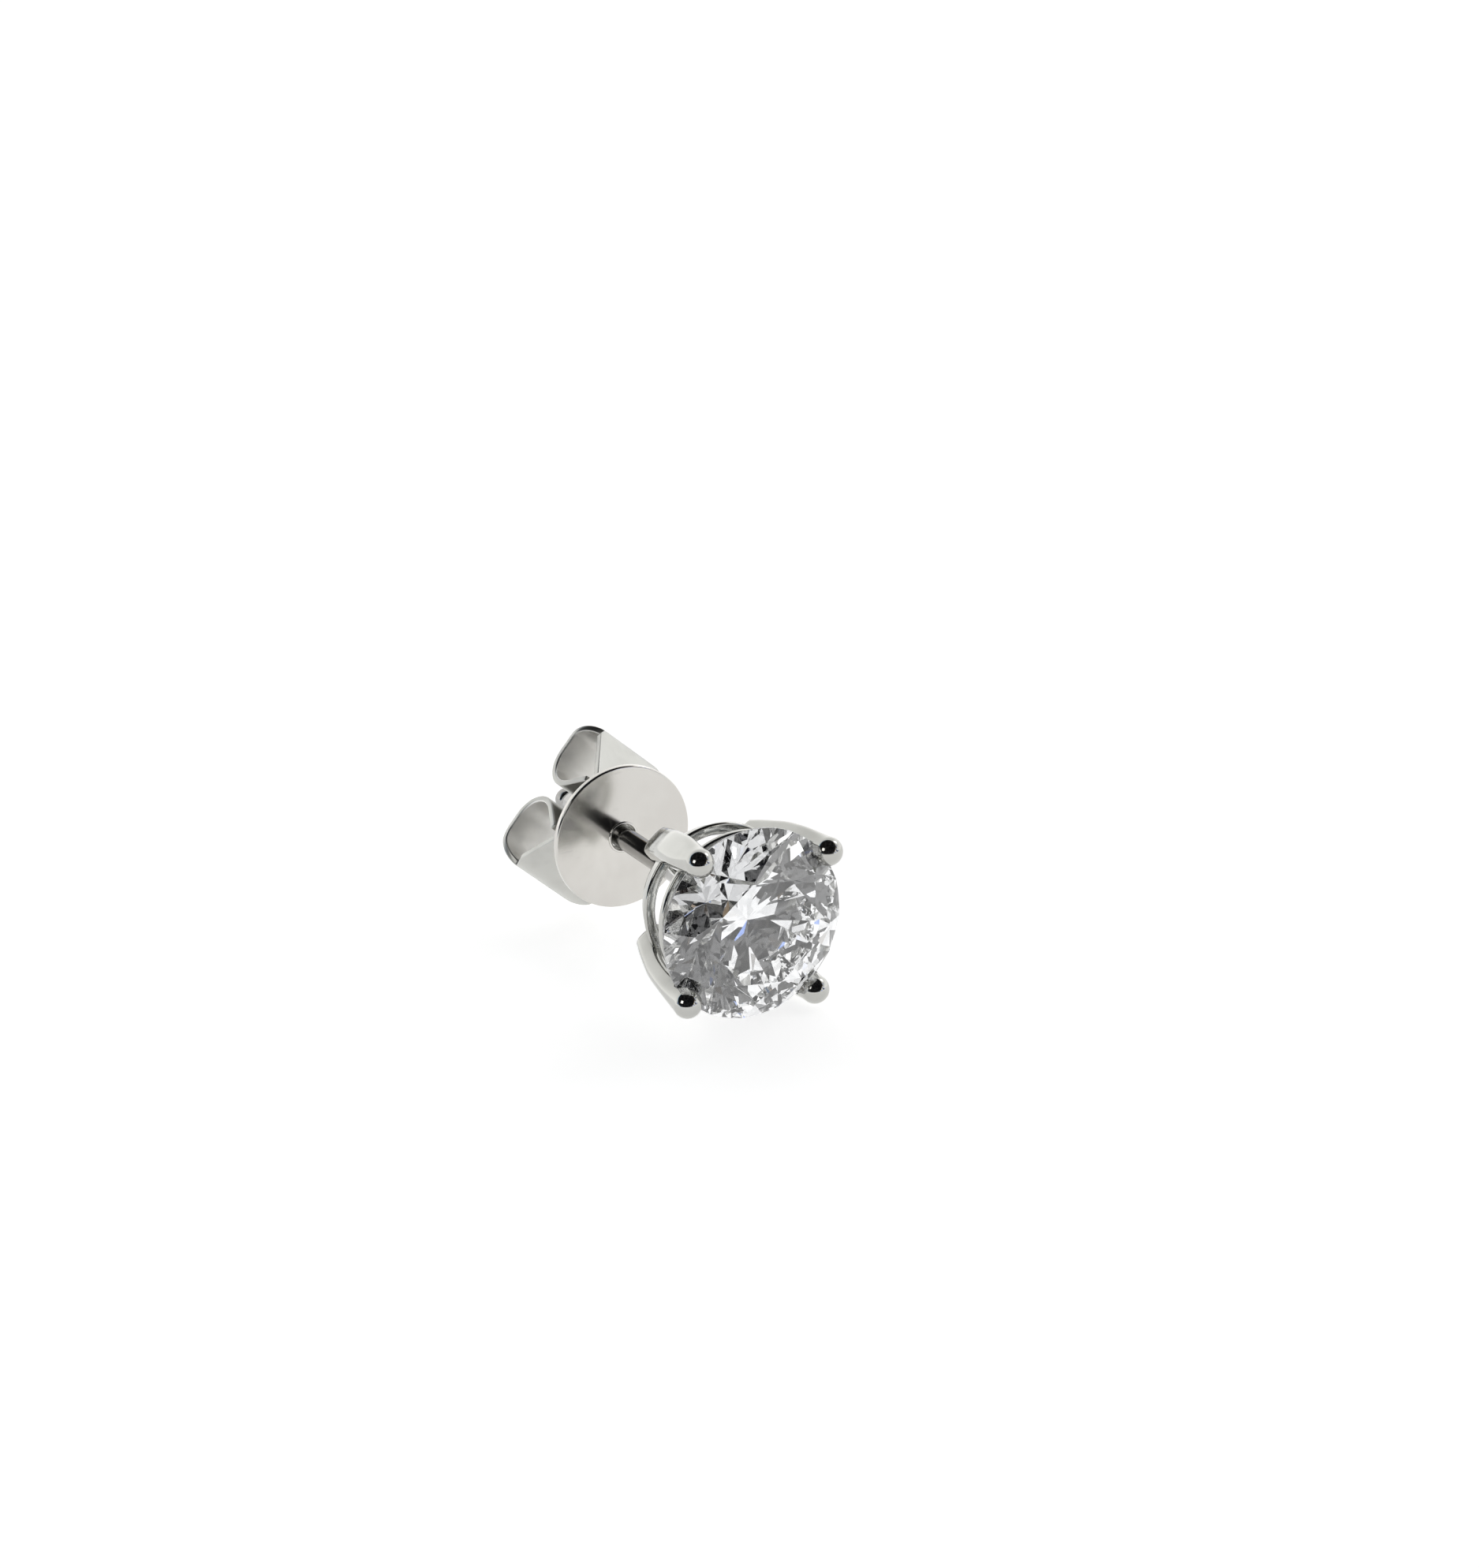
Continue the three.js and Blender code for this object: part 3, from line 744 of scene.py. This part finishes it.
@dataclass
class ButterflyBack:
    """The butterfly back: a disc with a rimmed hole, and a strip bent into two scrolls, in millimetres."""

    post_radius: float = 0.39
    disc_diameter: float = 5.12
    disc_thickness: float = 0.26
    disc_rounding: float = 0.07
    hole_clearance: float = 0.07
    rim_width: float = 0.1
    rim_height: float = 0.05
    strip_width: float = 3.56
    strip_thickness: float = 0.22
    strip_corner: float = 0.55
    strip_rounding: float = 0.05
    seat_sunk: float = 0.03
    bend_radius: float = 0.6
    inner_curl_radius: float = 0.96
    upper: Scroll = Scroll("upper", 1, 0.71, 51.0, 0.71, 0.61, 0.21)
    lower: Scroll = Scroll("lower", -1, 0.83, 43.5, 0.96, 0.44, 0.34)
    grip_clearance: float = 0.03
    free_end_lean_deg: float = 30.0
    free_end_length: float = 0.95
    turn_deg: float = 55.0
    disc_finish: PolishedPlatinum = field(default_factory=lambda: PolishedPlatinum(
        "disc_platinum", tone=(0.7, 0.685, 0.655), haze_tone=(0.67, 0.652, 0.622), polish=0.12, haze=0.03,
        wave=0.002, wave_per_mm=0.7))
    strip_finish: PolishedPlatinum = field(default_factory=lambda: PolishedPlatinum(
        "scroll_platinum", tone=(0.6, 0.6, 0.575), haze_tone=(0.56, 0.558, 0.535), polish=0.32, haze=0.08,
        wave=0.004, wave_per_mm=0.8))
    # Partly real, partly painted light: the scrolls' insides are rougher where the polish can't reach, and their
    # much brighter tone is painted light that stands in for light bouncing round inside the scrolls.
    hollow_haze_and_painted_light_finish: PolishedPlatinum = field(default_factory=lambda: PolishedPlatinum(
        "hollow_platinum_painted_bright", tone=(0.96, 0.955, 0.94), haze_tone=(0.84, 0.835, 0.82), polish=0.3, haze=0.12,
        wave=0.008, wave_per_mm=1.1))

    def _disc_profile(self) -> Profile:
        """The disc's section from its hole outwards and back, as (radius, height)."""
        hole = self.post_radius + self.hole_clearance
        r = self.disc_rounding
        outer = self.disc_diameter / 2.0 - r
        bead = self.rim_width / 2.0
        crest = [(hole + bead - bead * math.cos(a), self.rim_height * math.sin(a) ** 0.8 if a < 3.1 else 0.0)
                 for a in sweep(0.35, math.pi, 8)]
        return [
            (hole, -self.disc_thickness),
            *quarter_round((outer, r - self.disc_thickness), r, 270.0, 6),
            *quarter_round((outer, -r), r, 0.0, 6),
            *reversed(crest),
            (hole, 0.0),
        ]

    @property
    def _seat_height(self) -> float:
        """Height of the strip's middle line where it is soldered to the disc."""
        return self.seat_sunk - self.disc_thickness - self.strip_thickness / 2.0

    def _curls(self, scroll: Scroll) -> tuple[tuple[float, float], tuple[float, float]]:
        """Centres of a scroll's outer and inner curl, as (distance from the post's axis, height)."""
        fall = math.radians(scroll.fall_deg)
        inner = scroll.gap + self.strip_thickness / 2.0 + self.inner_curl_radius
        outer = inner + scroll.back_run
        drop = (scroll.curl_radius + (outer - scroll.seat) * math.sin(fall)) / math.cos(fall)
        height = self._seat_height - drop
        return (outer, height), (inner, height - scroll.curl_radius + self.inner_curl_radius)

    def _reach(self, scroll: Scroll) -> float:
        """How far a scroll reaches from the post's axis."""
        return self._curls(scroll)[0][0] + scroll.curl_radius + self.strip_thickness / 2.0

    def _half_path(self, scroll: Scroll) -> list[tuple[float, float, float]]:
        """The middle line of one scroll, from the strip's seat to its free end.

        Args:
            scroll: The scroll.

        Returns:
            Points as (distance from the post's axis, height, direction in radians).
        """
        fall = math.radians(scroll.fall_deg)
        lean = math.radians(self.free_end_lean_deg)
        quarter = math.pi / 2.0
        bend = (scroll.seat - self.bend_radius * math.tan(fall / 2.0), self._seat_height - self.bend_radius)
        outer, inner = self._curls(scroll)
        points = [(0.0, self._seat_height, 0.0)]
        for centre, radius, start, end, steps in (
            (bend, self.bend_radius, quarter, quarter - fall, 14),
            (outer, scroll.curl_radius, quarter - fall, -quarter, 48),
            (inner, self.inner_curl_radius, -quarter, -math.pi - lean, 48),
        ):
            points += [(centre[0] + radius * math.cos(a), centre[1] + radius * math.sin(a), a - quarter)
                       for a in sweep(start, end, steps)]
        x, z, heading = points[-1]
        for run in sweep(0.0, self.free_end_length, 6)[1:]:
            points.append((x + run * math.cos(heading), z + run * math.sin(heading), heading))
        return points

    def _strip_section(self, x: float, z: float, heading: float, inset: float) -> list[Vector]:
        """A rounded section across the strip, drawn in by inset all round."""
        reach = self._reach(self.upper if x > 0.0 else self.lower)
        past = max(0.0, abs(x) - (reach - self.strip_thickness / 2.0 - self.strip_corner))
        past = min(past, self.strip_corner)
        rounded = math.sqrt(self.strip_corner**2 - past**2)
        half_width = self.strip_width / 2.0 - self.strip_corner + rounded - inset
        half_thick = self.strip_thickness / 2.0 - inset
        r = max(self.strip_rounding - inset, 0.004)
        normal = Vector((-math.sin(heading), 0.0, math.cos(heading)))
        ring = []
        for sign_n, sign_y, start in ((1, 1, 0.0), (-1, 1, 90.0), (-1, -1, 180.0), (1, -1, 270.0)):
            for n, y in quarter_round((sign_n * (half_thick - r), sign_y * (half_width - r)), r, start, 4):
                ring.append(Vector((x, y, z)) + normal * n)
        return ring

    def _strip_rings(self) -> list[list[Vector]]:
        """All sections of the strip, from one free end over the seat to the other."""
        mirrored = [(-x, z, -heading) for x, z, heading in reversed(self._half_path(self.lower)[1:])]
        path = mirrored + self._half_path(self.upper)
        rings = [self._strip_section(x, z, heading, 0.0) for x, z, heading in path]
        r = self.strip_rounding
        for at_start in (True, False):
            x, z, heading = path[0] if at_start else path[-1]
            way = -1.0 if at_start else 1.0
            for angle in sweep(0.0, math.pi / 2.0, 4)[1:]:
                run = way * r * math.sin(angle)
                place = (x + run * math.cos(heading), z + run * math.sin(heading), heading)
                ring = self._strip_section(*place, r * (1.0 - math.cos(angle)))
                rings = [ring, *rings] if at_start else [*rings, ring]
        return rings

    def _mark_hollows(self, strip: bpy.types.Object) -> None:
        """Gives the faces on the inside of the two scrolls the second material number, whose brighter tone is
        painted light.
        """
        for face in strip.data.polygons:
            scroll = self.upper if face.center.x > 0.0 else self.lower
            outer, inner = self._curls(scroll)
            middle = Vector((scroll.side * (outer[0] + inner[0]) / 2.0, face.center.y, outer[1]))
            face.material_index = int(face.normal.dot((middle - face.center).normalized()) > 0.3)

    def _groove(self, bench: Workbench, scroll: Scroll) -> bpy.types.Object:
        """The metal round the post inside a scroll, with no room for the post cut yet."""
        across, height = self._curls(scroll)[1]
        radius = self.inner_curl_radius
        sleeve_radius = self.post_radius + self.grip_clearance + self.strip_thickness
        low, high = height - radius, height + radius
        sleeve = bench.lathe(f"{scroll.name}_groove",
                             [(0.0, low), (sleeve_radius, low), (sleeve_radius, high), (0.0, high)], 96)
        rings = [[Vector((scroll.side * across + radius * math.cos(a), y, height + radius * math.sin(a)))
                  for a in sweep(0.0, math.tau, 144)[:-1]] for y in (-sleeve_radius, sleeve_radius)]
        curl = bench.loft("curl_room", rings)
        bench.carve(sleeve, curl, keep_inside=True)
        bench.discard(curl)
        return sleeve

    def build(self, bench: Workbench) -> list[bpy.types.Object]:
        """Builds and dresses the disc and the scrolls.

        Args:
            bench: Where the pieces are made.

        Returns:
            Its pieces.
        """
        disc = bench.lathe("disc", self._disc_profile(), 240)
        scrolls = [bench.loft("scroll_strip", self._strip_rings()),
                   self._groove(bench, self.upper), self._groove(bench, self.lower)]
        hole = self.post_radius + self.hole_clearance
        grip = self.post_radius + self.grip_clearance
        depth = self.disc_thickness + 2.0 * self.strip_thickness
        deep = 2.0 * self.strip_width
        drill = bench.lathe("drill", [(0.0, -deep), (grip, -deep), (grip, -depth), (hole, -depth),
                                      (hole, depth), (0.0, depth)], 96)
        turn = Matrix.Rotation(math.radians(self.turn_deg), 4, "Z")
        for piece in scrolls:
            bench.carve(piece, drill)
        self._mark_hollows(scrolls[0])
        for piece in scrolls:
            piece.data.transform(turn)
        bench.discard(drill)
        disc_finish = self.disc_finish.make()
        # The second finish goes on the scrolls' insides and carries painted light: a brightened tone for the light
        # bouncing inside them.
        strip_finishes = self.strip_finish.make(), self.hollow_haze_and_painted_light_finish.make()
        dressed = [bench.set_in(disc, Body.BACK, Node.BACK, "back_platinum", disc_finish)]
        for piece in scrolls:
            dressed.append(bench.set_in(piece, Body.BACK, Node.BACK, "back_platinum", *strip_finishes))
        return dressed


@dataclass
class Studio:
    """A plain pale floor in a white tent with a dark opening above the camera.

    Attributes:
        camera_place: Where the camera is, in millimetres.
        camera_aim: The direction it looks in.
        camera_right: The direction to the right of its picture.
        lens: Focal length for a sensor 36 mm wide, in millimetres.
        floor_reach: Half the floor's side, in metres.
        opening_elevation_deg: How high the middle of the dark opening is.
        opening_shift: How far it is to the right, as a sine.
        opening_half: Half its width and half its height, as sines.
        opening_edge: Where its soft edge starts and ends, in shares of its size.
        fringe: How far the opening's edge differs between red, green and blue.
        fringe_shift: Where across the opening no fringe shows, in shares of its half width.
        wall: Light of the tent's walls.
        ceiling: Light of the tent's ceiling.
        panel: Light of the dark patches between the tent's bright panels.
        panel_scale: How many patches there are.
        dark: Light of the opening.
        dusk: Light of the dim things in the opening.
        dusk_scale: How many dim things there are.
        sky: Light of the few bluish patches.
        sun: Light of the few yellowish patches.
        spark_scale: How many coloured patches there are.
        strength: Brightness of the whole tent.
        stone_turns: How often light may turn inside the stone.
        gamma: Contrast of the picture; 1 is plain.
    """

    camera_place: Vector = Vector((-49.653, -100.6, 52.438))
    camera_aim: Vector = Vector((0.42952, 0.81741, -0.38388))
    camera_right: Vector = Vector((0.87108, -0.48713, -0.06262))
    lens: float = 88.32
    floor_reach: float = 0.6
    opening_elevation_deg: float = 58.0
    opening_shift: float = -0.05
    opening_half: tuple[float, float] = (0.9, 0.9)
    opening_edge: tuple[float, float] = (0.93, 1.05)
    fringe: float = 0.01
    fringe_shift: float = 0.35
    wall: Colour = (1.32, 1.32, 1.31)
    ceiling: Colour = (0.85, 0.85, 0.84)
    panel: Colour = (0.05, 0.05, 0.055)
    panel_scale: float = 4.0
    dark: Colour = (0.008, 0.008, 0.009)
    dusk: Colour = (0.05, 0.05, 0.052)
    dusk_scale: float = 7.0
    sky: Colour = (0.42, 0.58, 1.1)
    sun: Colour = (1.05, 1.0, 0.86)
    spark_scale: float = 7.0
    stone_turns: int = 20
    gamma: float = 0.88
    strength: float = 1.0

    def camera(self) -> None:
        """Sets the camera at the photograph's place and lens."""
        data = bpy.data.cameras.new("camera")
        data.sensor_fit = "HORIZONTAL"
        data.sensor_width = 36.0
        data.lens = self.lens
        data.clip_start = 0.002
        data.clip_end = 20.0
        made = bpy.data.objects.new("camera", data)
        aim = self.camera_aim.normalized()
        right = (self.camera_right - aim * self.camera_right.dot(aim)).normalized()
        turn = Matrix((right, right.cross(aim), -aim)).transposed().to_4x4()
        made.matrix_world = Matrix.Translation(self.camera_place * MM) @ turn
        bpy.context.scene.collection.objects.link(made)
        bpy.context.scene.camera = made

    def floor(self) -> None:
        """Lays the floor under the earring."""
        work = bmesh.new()
        bmesh.ops.create_grid(work, x_segments=4, y_segments=4, size=self.floor_reach)
        mesh = bpy.data.meshes.new("floor")
        work.to_mesh(mesh)
        work.free()
        mesh.materials.append(PaleFloor().make())
        made = bpy.data.objects.new("floor", mesh)
        bpy.context.scene.collection.objects.link(made)

    def tent(self) -> None:
        """Lights the scene by the tent: its walls and ceiling, small patches and the dark opening."""
        world = bpy.data.worlds.new("tent")
        bpy.context.scene.world = world
        world.use_nodes = True
        graph = Graph(world.node_tree)
        way = graph.node("ShaderNodeTexCoord").outputs["Generated"]
        towards = -self.camera_aim.normalized()
        level = Vector((towards.x, towards.y, 0.0)).normalized()
        rise = math.radians(self.opening_elevation_deg)
        centre = level * math.cos(rise) + Vector((0.0, 0.0, math.sin(rise)))
        side = Vector((-level.y, level.x, 0.0))
        along = centre.cross(side)
        across = (graph.dot(way, side) - self.opening_shift) * (1.0 / self.opening_half[0])
        upward = graph.dot(way, along) * (1.0 / self.opening_half[1])
        reach = across * across + upward * upward
        above = graph.dot(way, centre).smooth(0.0, 0.05)
        fringed = across - self.fringe_shift
        channels = [above * (1.0 - (reach + fringed * spread).smooth(*self.opening_edge))
                    for spread in (self.fringe, 0.0, -self.fringe)]
        opening = graph.node("ShaderNodeCombineXYZ", None, dict(enumerate(channels))).outputs[0]
        height = graph.dot(way, Vector((0.0, 0.0, 1.0))).smooth(0.0, 0.9)
        panels = graph.noise(way, self.panel_scale, 1.0).smooth(0.44, 0.56)
        facing = graph.dot(way, towards).smooth(-0.1, 0.3)
        tent = graph.blend(height, self.wall, self.ceiling)
        tent = graph.blend(panels * facing, tent, self.panel)
        spark = graph.noise(way, self.spark_scale, 0.0)
        tent = graph.blend(spark.smooth(0.66, 0.7) * facing, tent, self.sky)
        tent = graph.blend((1.0 - spark.smooth(0.3, 0.34)) * facing, tent, self.sun)
        dim = graph.noise(way, self.dusk_scale, 1.0).smooth(0.5, 0.62)
        inside = graph.blend(dim, self.dark, self.dusk)
        split = {"data_type": "VECTOR", "factor_mode": "NON_UNIFORM"}
        colour = graph.node("ShaderNodeMix", split, {1: opening, 4: tent, 5: inside}).outputs[1]
        light = graph.node("ShaderNodeBackground", None, {"Color": colour, "Strength": self.strength})
        out = graph.node("ShaderNodeOutputWorld")
        graph.tree.links.new(light.outputs[0], out.inputs["Surface"])

    def lamp(self, name: str, place: Vector, size: float, power: float, colour: Colour) -> None:
        """A square soft light that faces the earring.

        Args:
            name: Its name.
            place: Where it is, in millimetres.
            size: Its side, in millimetres.
            power: Its power, in watts.
            colour: Its colour.
        """
        data = bpy.data.lights.new(name, "AREA")
        data.size = size * MM
        data.energy = power
        data.color = colour
        made = bpy.data.objects.new(name, data)
        made.location = place * MM
        made.rotation_mode = "QUATERNION"
        made.rotation_quaternion = place.to_track_quat("Z", "Y")
        bpy.context.scene.collection.objects.link(made)

    def light_paths(self) -> None:
        """Lets light turn often enough inside the stone to come out again, so no facet goes blank."""
        paths = bpy.context.scene.cycles
        paths.glossy_bounces = self.stone_turns
        paths.transmission_bounces = self.stone_turns
        paths.max_bounces = 2 * self.stone_turns

    def build(self) -> None:
        """Builds the whole studio."""
        self.camera()
        self.floor()
        self.tent()
        self.lamp("left_softbox", Vector((-220.0, -60.0, 150.0)), 90.0, 0.05, (1.0, 0.99, 0.97))
        self.lamp("right_softbox", Vector((200.0, 20.0, 160.0)), 70.0, 0.04, (0.97, 0.98, 1.0))
        view = bpy.context.scene.view_settings
        view.view_transform = "Standard"
        view.gamma = self.gamma
        self.light_paths()


def dress_stone(rest: Matrix) -> bpy.types.Object:
    """Gives the stone its material; its shape is the solid's own.

    Args:
        rest: The rest pose.

    Returns:
        The stone.
    """
    stone = frame["nodes"][Node.STONE.value]
    axis = (rest.to_3x3() @ Vector((0.0, 0.0, 1.0))).normalized()
    diamond = CutDiamond("diamond", axis).make()
    stone.data.materials.clear()
    stone.data.materials.append(diamond)
    LOG.info("stone: %d facets on %s", len(stone.data.polygons), Body.STUD.value)
    return stone


def main() -> None:
    """Builds the earring piece by piece, then the studio round it."""
    logging.basicConfig(level=logging.INFO, format="%(message)s")
    stone = RoundBrilliant()
    basket = Basket(stone)
    rest = RestPose(basket.claw_count, stone.radius, basket.tip_radius, basket.tip_circle).matrix()
    bench = Workbench(rest)
    dress_stone(rest)
    for part in (basket, Post(), ButterflyBack()):
        pieces = part.build(bench)
        LOG.info("%s: %d pieces", type(part).__name__, len(pieces))
    Studio().build()


if __name__ == "__main__":
    main()
